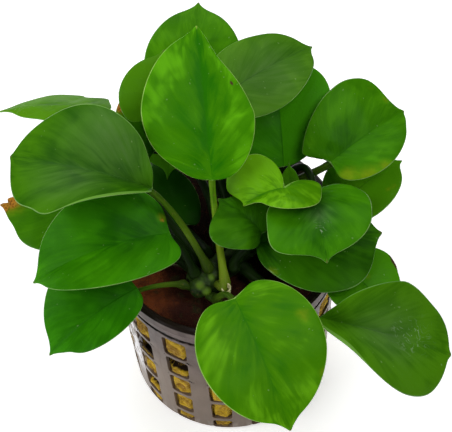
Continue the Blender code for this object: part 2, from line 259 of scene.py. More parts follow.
def add_piece(name, mesh_or_shape, slot, replaced, *finishes):
    """Puts a mesh or bmesh on the plant and hides the CAD nodes it stands for; slot is not used."""
    mesh = mesh_or_shape
    if isinstance(mesh, bmesh.types.BMesh):
        mesh = bpy.data.meshes.new(name)
        mesh_or_shape.to_mesh(mesh)
        mesh_or_shape.free()
        mesh.shade_smooth()
    for finish in finishes:
        mesh.materials.append(finish.material)
    made = bpy.data.objects.new(name, mesh)
    bpy.context.scene.collection.objects.link(made)
    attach(made, "root")
    if replaced:
        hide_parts(*replaced)
    return made


def turned(profile, facets):
    """A closed solid turned from (radius, height) points in mm that start and end on the axis."""
    solid = bmesh.new()
    points = [solid.verts.new((0.0, -radius * MM, height * MM)) for radius, height in profile]
    edges = [solid.edges.new(ends) for ends in zip(points, points[1:])]
    bmesh.ops.spin(solid, geom=points + edges, cent=(0, 0, 0), axis=(0, 0, 1),
                   angle=math.tau, steps=facets, use_merge=True)
    bmesh.ops.remove_doubles(solid, verts=solid.verts, dist=SAME_PLACE)
    bmesh.ops.recalc_face_normals(solid, faces=solid.faces)
    return solid


def wall_radius(height):
    """The wall's outer radius in mm, which grows evenly from the foot to under the lip."""
    top = RIM_RADIUS - LIP_STEP
    return FOOT_RADIUS + (top - FOOT_RADIUS) * height / (RIM_HEIGHT - LIP_HEIGHT)


def slot_half_angle(height):
    """Half the angle that a slot takes at this height."""
    share = min(max(height / SLOT_TOPS[0], 0.0), 1.0)
    return (SLOT_ANGLE_FOOT + (SLOT_ANGLE_TOP - SLOT_ANGLE_FOOT) * share) / 2


SLOT_PITCH = math.tau / SLOT_COLUMNS
PITCH_FACETS = SLOT_FACETS + RIB_FACETS


def slot_angle(column, swing):
    """The angle about the pot's axis at this swing from the middle of a column of slots."""
    return SLOT_PHASE - math.pi / 2 + column * SLOT_PITCH + swing


def nearest_column(angle):
    """The column of slots nearest to an angle, and the swing from its middle."""
    turn = angle + math.pi / 2 - SLOT_PHASE
    column = round(turn / SLOT_PITCH)
    return column, abs(turn - column * SLOT_PITCH)


inner_rim = RIM_RADIUS - RIM_WIDTH
under_lip = RIM_HEIGHT - LIP_HEIGHT
slot_heights = sorted(SLOT_BOTTOMS + SLOT_TOPS)
profile = [(0, 0), (FLOOR_SLOTS[0], 0), (FLOOR_SLOTS[1], 0), (FOOT_RADIUS - FOOT_CHAMFER, 0)]
profile += [(wall_radius(height), height) for height in slot_heights]
low, high = GROOVE
profile += [(wall_radius(low), low), (wall_radius(low) - GROOVE_DEPTH, low + GROOVE_SLOPE)]
profile += [(wall_radius(high) - GROOVE_DEPTH, high - GROOVE_SLOPE), (wall_radius(high), high)]
profile += [(wall_radius(under_lip), under_lip), (RIM_RADIUS, under_lip + LIP_ROUNDING)]
profile += [(RIM_RADIUS, RIM_HEIGHT - LIP_ROUNDING), (RIM_RADIUS - LIP_ROUNDING, RIM_HEIGHT)]
profile += [(inner_rim + LIP_INNER_ROUNDING, RIM_HEIGHT), (inner_rim, RIM_HEIGHT - LIP_ROUNDING)]
inner_heights = slot_heights[:0:-1] + [FLOOR + FLOOR_RISE]
profile += [(min(inner_rim, wall_radius(height) - WALL), height) for height in inner_heights]
profile += [(FLOOR_SLOTS[1], FLOOR), (FLOOR_SLOTS[0], FLOOR), (0, FLOOR)]
pot = turned(profile, SLOT_COLUMNS * PITCH_FACETS)

for vert in pot.verts:
    radius = math.hypot(vert.co.x, vert.co.y)
    if radius < MM:
        continue
    turn = math.atan2(vert.co.y, vert.co.x) + math.pi / 2
    column, facet = divmod(round(turn / math.tau * SLOT_COLUMNS * PITCH_FACETS), PITCH_FACETS)
    half = slot_half_angle(vert.co.z / MM)
    offset = -half + facet * 2 * half / SLOT_FACETS
    if facet > SLOT_FACETS:
        offset = half + (facet - SLOT_FACETS) * (SLOT_PITCH - 2 * half) / RIB_FACETS
    vert.co.x = radius * math.cos(slot_angle(column, offset))
    vert.co.y = radius * math.sin(slot_angle(column, offset))


def slot_of(face):
    """(column, slot's top) of a face that is opened, or None."""
    centre = face.calc_center_median() / MM
    column, swing = nearest_column(math.atan2(centre.y, centre.x))
    if swing > slot_half_angle(centre.z):
        return None
    low = min(vert.co.z for vert in face.verts) / MM
    high = max(vert.co.z for vert in face.verts) / MM
    if high - low < NEAR_ENOUGH and FLOOR_SLOTS[0] < centre.xy.length < FLOOR_SLOTS[1]:
        return column % SLOT_COLUMNS, 0.0
    for top, bottom in zip(SLOT_TOPS, SLOT_BOTTOMS):
        if abs(high - top) < NEAR_ENOUGH and low > bottom - NEAR_ENOUGH:
            return column % SLOT_COLUMNS, top
    return None


openings = {}
for face in pot.faces:
    place = slot_of(face)
    if place:
        openings.setdefault(place, []).append(face)
corner_edges = {}
for faces in openings.values():
    inside = set(faces)
    border = [edge for face in faces for edge in face.edges
              if any(other not in inside for other in edge.link_faces)]
    ends = {vert for edge in border for vert in edge.verts}
    corners = set()
    for vert in ends:
        first, second = [edge for edge in vert.link_edges if edge in border]
        bend = (first.other_vert(vert).co - vert.co).angle(second.other_vert(vert).co - vert.co)
        if bend < CORNER_BEND:
            corners.add(vert)
    narrowest = min(edge.calc_length() for edge in border) / MM
    corner = SLOT_CORNER if narrowest > SLOT_CORNER else round(narrowest * SLOT_CORNER_SHARE, 2)
    bmesh.ops.delete(pot, geom=faces, context="FACES")
    walls = bmesh.ops.bridge_loops(pot, edges=border)["edges"]
    corner_edges.setdefault(corner, []).extend(
        edge for edge in walls if all(vert in corners for vert in edge.verts))
# The order matters to the shape, so it is fixed: the widest corners first.
for corner, edges in sorted(corner_edges.items(), reverse=True):
    bmesh.ops.bevel(pot, geom=edges, offset=corner * MM, segments=SLOT_CORNER_SEGMENTS,
                    profile=0.5, affect="EDGES", material=-1)
bmesh.ops.recalc_face_normals(pot, faces=pot.faces)

# The pot is glossy black and hazy. Its wall is painted lighter and browner towards its foot,
# which is a painted reflection of the floor, and its rim top is painted black as painted
# shade under the leaves.
gloss = Finish("black_plastic", Specular_IOR_Level=0.10, Coat_Roughness=0.15, Coat_IOR=1.7)
x_mm, y_mm, z_mm = gloss.axes(gloss.place)
scuffs = gloss.noise(0.9, 4.0, stretch=(1, 1, 0.15)).between(0.5, 0.72)
haze = gloss.noise(0.16, 3.0)
# The groove is painted dark with ragged edges: painted shade in the recess.
ragged = z_mm + (gloss.noise(0.5, 3.0) - 0.5) * 2.4
groove_shade = ragged.between(45.7, 46.2) * ragged.between(47.6, 47.1)
# A white glare is painted on the front left of the wall: a painted highlight.
leftward = x_mm / (x_mm ** 2.0 + y_mm ** 2.0) ** 0.5
painted_glare = gloss.noise(0.55, 4.0, stretch=(1, 1, 0.35), distortion=1.0).between(0.47, 0.50)
painted_glare = painted_glare * leftward.between(-0.78, -0.90) * y_mm.between(3.0, -2.0)
painted_glare = painted_glare * z_mm.between(49.8, 49.0) * z_mm.between(8.0, 20.0)
# Painted reflection of the floor lightens the lower wall; painted shade blackens the rim top.
plastic = gloss.mix((0.070, 0.044, 0.040), (haze.between(0.38, 0.62), (0.125, 0.088, 0.080)),
                    (z_mm.between(46.0, 18.0) * 0.65, (0.205, 0.150, 0.106)),
                    (z_mm.between(53.1, 53.6), BLACK), (groove_shade, BLACK),
                    (painted_glare * 0.9, (0.80, 0.79, 0.82)))
gloss.use(plastic, 0.24 + 0.14 * haze + 0.12 * scuffs,
          0.03 * gloss.noise(0.35, 3.0) + 0.008 * gloss.noise(3.0, 2.0),
          Coat_Weight=leftward.between(-0.70, -0.90) * scuffs * 0.8)
pot_piece = add_piece("pot", pot, "pot", ["net_pot"], gloss)
pot_piece.data.set_sharp_from_angle(angle=SHARP_BEND)
rounding = pot_piece.modifiers.new("rounded edges", "BEVEL")
rounding.width = EDGE_ROUNDING * MM
rounding.segments = 2
rounding.limit_method = "ANGLE"
rounding.angle_limit = SHARP_BEND


# Rock wool plug: yellow-brown mineral wool pressed into the pot, so it bulges into the slots.
# Its top is stained red-brown and green, loose strands lie on it, and some slots are half empty.
WOOL_FACETS = 256
WOOL_GAP = 0.35
WOOL_FOOT = FLOOR + 0.5
WOOL_FOOT_RADIUS = 12
WOOL_EDGE = 50.2
WOOL_EDGE_ROUNDING = 0.8
WOOL_CROWN = 51.2
WOOL_RINGS = 88
WOOL_TOP_RINGS = 34
BULGE = 1.6
# How far down the wool has sunk, by the slot's column and row.
HOLLOWS = {(15, 1): 5.2, (14, 1): 9.5, (14, 2): 2.6, (14, 3): 4.2, (13, 0): 4.0, (13, 1): 9.5,
           (13, 2): 3.6, (13, 3): 9.5}
HOLLOW_SINK = 3.0
TOP_STRANDS = 900
SIDE_STRANDS = 1400
HANGING = 12
HANGING_COLUMN = 15
STRAND_RADIUS = 0.045
STRAND_TAPER = 0.6
STRAND_STEP = 0.7
STRAND_STAND_OFF = 0.85
TOP_STRAND_POINTS = 6
SIDE_STRAND_POINTS = 5
HANGING_POINTS = 6
TURN_BACK = 0.97

side_radius = RIM_RADIUS - RIM_WIDTH - WOOL_GAP
profile = [(0, WOOL_FOOT), (WOOL_FOOT_RADIUS, WOOL_FOOT)]
for ring in range(WOOL_RINGS + 1):
    height = WOOL_FOOT + (WOOL_EDGE - WOOL_EDGE_ROUNDING - WOOL_FOOT) * ring / WOOL_RINGS
    profile.append((min(side_radius, wall_radius(height) - WALL - WOOL_GAP), height))
for ring in range(WOOL_TOP_RINGS + 1):
    share = ring / WOOL_TOP_RINGS
    height = WOOL_EDGE + (WOOL_CROWN - WOOL_EDGE) * math.sin(share * math.pi / 2)
    profile.append(((side_radius - WOOL_EDGE_ROUNDING) * (1 - share), height))
wool = turned(profile, WOOL_FACETS)


def slot_share(angle, height):
    """For a place on the wall: how far inside a slot it is and how near its middle (0 to 1), the
    hollow's depth there in mm, its painted shadow (0 to 1), and the slot's column."""
    column, swing = nearest_column(angle)
    sideways = (slot_half_angle(height) - swing) * RIM_RADIUS
    depth, sink, shadow = -1.0, 0.0, 0.0
    for row, (top, bottom) in enumerate(zip(SLOT_TOPS, SLOT_BOTTOMS)):
        hollow = HOLLOWS.get((column % SLOT_COLUMNS, row), 0.0)
        if hollow:
            edge = top - hollow - 0.8 * noise.noise(Vector((angle * 40, 0.3, 0.7)))
            if edge - 0.6 < height < top + 0.8 and sideways > -1.0:
                sink = HOLLOW_SINK * min(max((height - edge) / 0.5, 0.0), 1.0)
                shadow = min((height - edge + 0.7) / 0.5, 1.0)
            top = edge
        depth = max(depth, min(top - height, height - bottom))
    share = min(max((min(sideways, depth) - 0.10) / 0.9, 0.0), 1.0)
    middle = min(max((min(sideways, depth) - 0.9) / 1.6, 0.0), 1.0)
    return share * share * (3 - 2 * share), middle, sink, shadow, column


pit = wool.verts.layers.float.new("pit")
dark = wool.verts.layers.float.new("dark")
for vert in wool.verts:
    radius = math.hypot(vert.co.x, vert.co.y) / MM
    height = vert.co.z / MM
    if radius < 1.0:
        continue
    out = Vector((vert.co.x, vert.co.y, 0.0)).normalized()
    tufts = noise.fractal(vert.co / MM * 0.55, 0.9, 2.0, 4)
    if height > WOOL_EDGE - 0.5:
        vert.co.z += (0.55 * tufts + 0.5 * noise.noise(vert.co / MM * 0.13)) * MM
        continue
    share, vert[pit], sink, shadow, column = slot_share(math.atan2(vert.co.y, vert.co.x), height)
    slack = 0.5 + 0.5 * noise.noise(Vector((column * 7.1, round(height / 9.9) * 3.3, 0.5)))
    bulge = BULGE * (0.55 + 0.45 * slack) + 0.45 * tufts - 0.1 - 0.35 * vert[pit]
    vert.co += out * MM * (share * bulge - sink)
    # The painted shadow under the hollow's top edge is stored in the dark layer.
    vert[dark] = shadow

felt = Finish("rock_wool", Specular_IOR_Level=0.15)
x_mm, y_mm, z_mm = felt.axes(felt.place)
blotch = felt.noise(0.22, 4.0, distortion=0.6)
fibre = felt.noise(1.6, 4.0, stretch=(1, 1, 2.6), distortion=1.2)
pits = felt.own("pit") * felt.noise(0.45, 3.0, distortion=0.8).between(0.40, 0.62)
# The dark layer paints the shadow under each sunken slot's top edge nearly black.
side = felt.mix((0.60, 0.38, 0.014), (blotch.between(0.40, 0.62), (0.26, 0.13, 0.006)),
                (pits * 0.8, (0.22, 0.090, 0.006)),
                (fibre.between(0.45, 0.70) * 0.5, (0.72, 0.53, 0.15)),
                (felt.own("dark").between(0.1, 0.6), (0.014, 0.006, 0.002)))
# The top is amber at the left and mossy in spots. At the back it is painted nearly black:
# painted shade under the plant.
amber = x_mm.between(-9.0, -21.0) * 0.7 + (blotch - 0.5) * 1.2
top = felt.mix((0.034, 0.008, 0.005), (amber.between(0.0, 0.7), (0.17, 0.040, 0.010)),
               (felt.noise(0.35, 4.0).between(0.58, 0.68) * 0.5, (0.022, 0.036, 0.010)),
               (fibre.between(0.55, 0.8) * 0.35, (0.22, 0.065, 0.022)),
               (y_mm.between(-8.0, 2.0) * 0.8, (0.006, 0.003, 0.002)))
felt.use(felt.mix(side, (z_mm.between(48.6, 49.8), top)), 0.92, 0.35 * fibre)
add_piece("wool", wool, "wool", ["rock_wool_plug"], felt)


def applied(thing):
    """The finished mesh of an object, which is then removed."""
    bpy.context.scene.collection.objects.link(thing)
    mesh = bpy.data.meshes.new_from_object(
        thing.evaluated_get(bpy.context.evaluated_depsgraph_get()))
    bpy.data.objects.remove(thing, do_unlink=True)
    mesh.shade_smooth()
    return mesh


def add_strands(name, lines, finish):
    """Thin round threads of wool, one for each list of points in mm."""
    curve = bpy.data.curves.new(name, "CURVE")
    curve.dimensions = "3D"
    curve.bevel_depth = STRAND_RADIUS * MM
    curve.bevel_resolution = 0
    curve.use_fill_caps = True
    for line in lines:
        spline = curve.splines.new("POLY")
        spline.points.add(len(line) - 1)
        for order, (point, place) in enumerate(zip(spline.points, line)):
            point.co = (*(Vector(place) * MM), 1.0)
            point.radius = 1.0 - STRAND_TAPER * order / (len(line) - 1)
    add_piece(name, applied(bpy.data.objects.new(name, curve)), "wool", [], finish)


def wall_place(column, swing, radius, height):
    """A point in mm beside a column of slots."""
    angle = slot_angle(column, swing)
    return radius * math.cos(angle), radius * math.sin(angle), height


chance = random.Random(11)
top_lines = []
for _ in range(TOP_STRANDS):
    angle = chance.uniform(0, math.tau)
    radius = side_radius * math.sqrt(chance.uniform(0.0, 0.95))
    heading = chance.uniform(0, math.tau)
    curl = chance.uniform(-0.5, 0.5)
    x, y, z = radius * math.cos(angle), radius * math.sin(angle), WOOL_EDGE + 0.2
    line = []
    for step in range(TOP_STRAND_POINTS):
        line.append((x, y, z + (1 - (radius / side_radius) ** 2) * 0.8))
        heading += curl + chance.uniform(-0.3, 0.3)
        x += STRAND_STEP * math.cos(heading)
        y += STRAND_STEP * math.sin(heading)
        z += chance.uniform(-0.15, 0.32)
        if math.hypot(x, y) > side_radius - 0.3:
            x *= TURN_BACK
            y *= TURN_BACK
    top_lines.append(line)
side_lines = []
for _ in range(SIDE_STRANDS):
    column = chance.randrange(SLOT_COLUMNS)
    row = chance.randrange(len(SLOT_TOPS))
    low, high = SLOT_BOTTOMS[row] + 0.6, SLOT_TOPS[row] - 0.6
    high = max(high - HOLLOWS.get((column, row), 0.0), low + 0.1)
    z = chance.uniform(low, high)
    limit = slot_half_angle(z) - 0.03
    swing = chance.uniform(-limit, limit)
    lean = chance.uniform(-0.05, 0.05)
    fall = chance.choice((-0.5, 0.5, 0.25, -0.25))
    line = []
    for step in range(SIDE_STRAND_POINTS):
        radius = wall_radius(z) - WALL - WOOL_GAP + STRAND_STAND_OFF + 0.25 * math.sin(step * 0.8)
        line.append(wall_place(column, swing, radius, z))
        z = min(max(z + fall * chance.uniform(0.6, 1.2), low), high)
        swing = min(max(swing + lean * 0.4, -limit), limit)
    side_lines.append(line)
for _ in range(HANGING):
    z = SLOT_TOPS[1] + 0.3
    swing = chance.uniform(-0.085, 0.085)
    drop = chance.uniform(0.8, 2.6) / (HANGING_POINTS - 1)
    line = []
    for step in range(HANGING_POINTS):
        radius = wall_radius(z) - WALL + 0.1 + 0.15 * step
        line.append(wall_place(HANGING_COLUMN, swing, radius, z))
        z -= drop
        swing += chance.uniform(-0.008, 0.008)
    side_lines.append(line)
for name, lines, finish_name, pale, dark, detail, roughness in (
        ("wool_top_strands", top_lines, "stained_wool", (0.11, 0.027, 0.012),
         (0.03, 0.010, 0.008), (0.3, 0.4, 0.6), 0.85),
        ("wool_side_strands", side_lines, "loose_wool", (0.62, 0.42, 0.045),
         (0.34, 0.19, 0.012), (0.4, 0.35, 0.65), 0.8)):
    strand = Finish(finish_name, Specular_IOR_Level=0.2)
    per_mm, low, high = detail
    strand.use(strand.mix(pale, (strand.noise(per_mm, 2.0).between(low, high), dark)),
               roughness, 0.02 * strand.noise(4.0))
    add_strands(name, lines, strand)


# Rhizome: the creeping stem on the wool, dark green, ringed by old leaf scars, with buds.
# It is grown, not made: swellings merge into the stem, and short roots run into the wool.
RHIZOME = (
    ((-6.8, -16.0, 54.9), 1.7),
    ((-5.6, -14.4, 55.2), 3.0),
    ((-2.2, -11.2, 55.1), 3.3),
    ((3.0, -6.4, 55.0), 3.1),
    ((8.5, -0.5, 54.8), 3.0),
    ((12.0, 6.0, 54.6), 2.9),
    ((13.0, 12.0, 54.2), 2.2),
    ((13.0, 15.0, 53.8), 1.2),
)
BUDS = (
    ((-6.6, -15.1, 56.8), 1.5),
    ((-4.9, -16.7, 56.2), 1.5),
    ((-2.5, -15.3, 54.6), 1.6),
    ((-7.6, -12.4, 54.8), 1.8),
    ((1.6, -10.4, 54.2), 1.5),
)
VOXEL = 0.28
SCARS = 34 / 1.5
SCAR_DEPTH = 0.14
SCAR_WIDTH = 0.16
# The bright green spots on the front buds and how far each reaches.
BRIGHT_SPOTS = (((-6.2, -16.2, 57.6), 1.5), ((-4.6, -17.6, 56.8), 1.6), ((-3.4, -14.4, 58.0), 1.2))
ROOTS = (
    ((-5.0, -12.0, 53.2), (-9.5, -8.0, 52.6), (-14.0, -6.5, 51.6), (-16.5, -7.5, 49.8)),
    ((-1.0, -9.0, 52.8), (-4.0, -3.5, 52.6), (-9.0, 1.5, 51.9), (-12.0, 2.0, 49.8)),
    ((2.0, -8.5, 52.8), (5.5, -12.5, 52.4), (9.0, -15.5, 51.7), (10.0, -18.0, 49.6)),
    ((7.0, -3.5, 52.6), (11.5, -6.5, 52.4), (16.0, -8.0, 51.6), (18.5, -7.0, 49.6)),
    ((8.0, 2.0, 52.6), (4.0, 6.0, 52.4), (0.5, 10.5, 51.8), (-2.5, 12.0, 49.7)),
    ((13.0, 9.0, 52.2), (17.0, 11.0, 52.0), (19.5, 13.0, 51.2), (20.0, 14.0, 49.4)),
    ((-3.6, -13.6, 53.0), (-2.6, -17.4, 52.6), (-4.4, -20.0, 51.8), (-6.6, -21.4, 49.8)),
)
STEM_BALLS = 60
STEM_MARKS = 120
ROOT_RADIUS = 0.42
ROOT_THINNING = 0.35
ROOT_WANDER = 0.25
ROOT_SEED = 11
ROOT_STEPS = 18
ROOT_SIDES = 10


def bump(distance, width):
    """1 at no distance, falling smoothly to 0 past this width."""
    return math.exp(-((distance / width) ** 2))


def along(points, share):
    """A point on a smooth curve through the points, at a share of its length from 0 to 1."""
    spans = len(points) - 1
    first = min(int(share * spans), spans - 1)
    t = share * spans - first
    before, start, end, after = [Vector(points[min(max(first + shift, 0), spans)])
                                 for shift in (-1, 0, 1, 2)]
    return 0.5 * (2 * start + (end - before) * t
                  + (2 * before - 5 * start + 4 * end - after) * t ** 2
                  + (3 * start - before - 3 * end + after) * t ** 3)


stem = bmesh.new()
stem_line = [centre for centre, radius in RHIZOME]
stem_radii = [(radius, 0.0, 0.0) for centre, radius in RHIZOME]
swellings = [(along(stem_line, step / STEM_BALLS), along(stem_radii, step / STEM_BALLS).x)
             for step in range(STEM_BALLS + 1)]
swellings += [(Vector(centre), radius) for centre, radius in BUDS]
for centre, radius in swellings:
    ball = bmesh.ops.create_icosphere(stem, subdivisions=3, radius=radius * MM)["verts"]
    bmesh.ops.translate(stem, verts=ball, vec=centre * MM)
stem_mesh = bpy.data.meshes.new("stem")
stem.to_mesh(stem_mesh)
stem.free()
lump = bpy.data.objects.new("stem_lump", stem_mesh)
merge = lump.modifiers.new("merge", "REMESH")
merge.mode = "VOXEL"
merge.voxel_size = VOXEL * MM
soften = lump.modifiers.new("soften", "SMOOTH")
soften.factor = 0.5
soften.iterations = 7
stem_mesh = applied(lump)
line_places = [(along(stem_line, step / STEM_MARKS), step / STEM_MARKS)
               for step in range(STEM_MARKS + 1)]
for vert in stem_mesh.vertices:
    here = vert.co / MM
    centre, share = min(line_places, key=lambda place: (place[0] - here).length_squared)
    ring = share * SCARS + 0.35 * noise.noise(here * 0.4)
    scar = SCAR_DEPTH * bump(ring - round(ring), SCAR_WIDTH)
    vert.co += (here - centre).normalized() * MM * (0.16 * noise.noise(here * 0.7) - scar)

bark = Finish("rhizome_skin", Specular_IOR_Level=0.12)
x_mm, y_mm, z_mm = bark.axes(bark.place)
mottle = bark.noise(0.5, 4.0)
bright = 0.0
for (x, y, z), reach in BRIGHT_SPOTS:
    far = ((x_mm - x) ** 2.0 + (y_mm - y) ** 2.0 + (z_mm - z) ** 2.0) ** 0.5
    bright = bright + far.between(reach, 0.2)
dry = bark.noise(1.4, 3.0).between(0.62, 0.74)
colour = bark.mix((0.009, 0.020, 0.004), (mottle.between(0.35, 0.65), (0.030, 0.065, 0.008)),
                  (bright * 0.85, (0.12, 0.23, 0.015)), (dry * 0.6, (0.12, 0.07, 0.03)))
bark.use(colour, 0.38 + 0.2 * mottle, 0.10 * bark.noise(1.8, 4.0))
add_piece("stem", stem_mesh, "rhizome", ["rhizome"], bark)


def sheet(columns, rows, place, **layers):
    """A bmesh sheet. place gives a point in metres from its shares across and along, 0 to 1.

    Each named layer stores a number on the points, from the same two shares.
    """
    made = bmesh.new()
    bmesh.ops.create_grid(made, x_segments=columns, y_segments=rows, size=0.5)
    flat = made.loops.layers.uv.new("UVMap")
    stored = {name: made.verts.layers.float.new(name) for name in layers}
    for face in made.faces:
        for corner in face.loops:
            corner[flat].uv = (corner.vert.co.x + 0.5, corner.vert.co.y + 0.5)
    for vert in made.verts:
        u, v = vert.co.x + 0.5, vert.co.y + 0.5
        for name, value in layers.items():
            vert[stored[name]] = value(u, v)
        vert.co = place(u, v)
    return made


def tube(line, radii, sides, groove=0.0):
    """A tube round a line of points in mm, closed by a first and last radius of 0.

    groove is the depth, as a share of the radius, of a channel along its upper side.
    """
    frames = []
    across = Vector((1, 0, 0))
    for order, point in enumerate(line):
        ahead = line[min(order + 1, len(line) - 1)] - line[max(order - 1, 0)]
        ahead.normalize()
        across = (across - ahead * across.dot(ahead)).normalized()
        frames.append((point, across, ahead.cross(across)))

    def place(u, v):
        order = round(v * (len(line) - 1))
        point, side, other = frames[order]
        turn = math.tau * u
        radius = radii[order] * (1 - groove * bump(math.sin((turn - math.pi / 2) / 2), 0.2))
        return (point + (side * math.cos(turn) + other * math.sin(turn)) * radius) * MM

    made = sheet(sides, len(line) - 1, place)
    bmesh.ops.remove_doubles(made, verts=made.verts, dist=SAME_PLACE)
    bmesh.ops.recalc_face_normals(made, faces=made.faces)
    return made


root_skin = Finish("root_skin", Specular_IOR_Level=0.4)
tint = root_skin.noise(0.5, 3.0).between(0.35, 0.65)
root_skin.use(root_skin.mix((0.10, 0.055, 0.020), (tint, (0.045, 0.050, 0.016))), 0.6,
              0.05 * root_skin.noise(1.5))
noise.seed_set(ROOT_SEED)
for number, points in enumerate(ROOTS, 1):
    line = [along(points, step / ROOT_STEPS) for step in range(ROOT_STEPS + 1)]
    line = [place + ROOT_WANDER * noise.noise_vector(place * 0.3 * number) for place in line]
    radii = [ROOT_RADIUS * (1 - ROOT_THINNING * step / ROOT_STEPS)
             for step in range(ROOT_STEPS + 1)]
    radii[0] = radii[-1] = 0.0
    add_piece(f"root_{number}", tube(line, radii, ROOT_SIDES), "rhizome", [], root_skin)


# Leaf blades: round and leathery, each with a notched base, a small dark point and a pale rim.
# A blade is one thin sheet, thicker along its midrib, with side veins that curve to its margin.
YOUNG, GREEN, DEEP = "young", "green", "deep"
CREASE = 0.5
BLADE_THICKNESS = 0.5
BLADE_COLUMNS = 28
BLADE_ROWS = 44
SPIKE_ANGLE = 0.05
SWELL_FADE = 0.02
MIDRIB_SINK = 0.14
MIDRIB_WIDTH = 0.8
VEINS = 6
VEIN_HEIGHT = 0.10
UNEVENNESS = 0.45
SAME_BLADE_PLACE = 1e-7
# An ordinary leaf, in millimetres, degrees for its roll, and shares. A pair is (right, left) when
# looking from the notch to the tip, and one number stands for both.
# lobe is how far a basal lobe passes the notch, and cut the notch's width along the margin.
# wrap draws a lobe in beside the notch and curl lifts it.
# egg widens a half near the notch, plump below 1 blunts its near end, and point above 1 narrows
# its far end. mucro and taper are the length and width of the drawn-out end, which spike tops.
# fold is the slope of a half at the notch, and flat, where a row has it, at the tip.
# cup curves the blade across, arch along, and roll turns it about its midrib.
# young is how much it looks like a new leaf, and fresh a purer green. A higher shade is lighter;
# it sets each half's own tone together with painted light and shade.
# stalk is how brightly lit the stalk is painted, from painted shade at 0 to painted light at 1,
# and slim its share of the usual thickness.
ORDINARY = dict(lobe=2.5, cut=0.35, egg=0.1, plump=1.0, point=1.0, mucro=1.2, taper=0.16,
                spike=0.8, wrap=0.0, curl=0.0, fold=0.15, cup=-0.1, arch=2, roll=0, young=0.3,
                shade=0.0, fresh=0.25, stalk=0.0, slim=1.0, swell=(), bites=(),
                hem=(1, 0.0, 1.0, 0.0))
PAIRS = ("half", "lobe", "mucro", "taper", "point", "egg", "plump", "wrap", "curl", "fold", "shade")


def grow(tone, notch, tip, foot, half, **others):
    """A leaf's measures, the ordinary ones filled in and each pair written as a pair."""
    leaf = dict(ORDINARY, tone=tone, notch=notch, tip=tip, foot=foot, half=half, **others)
    for name in PAIRS:
        if not isinstance(leaf[name], tuple):
            leaf[name] = (leaf[name], leaf[name])
    return leaf
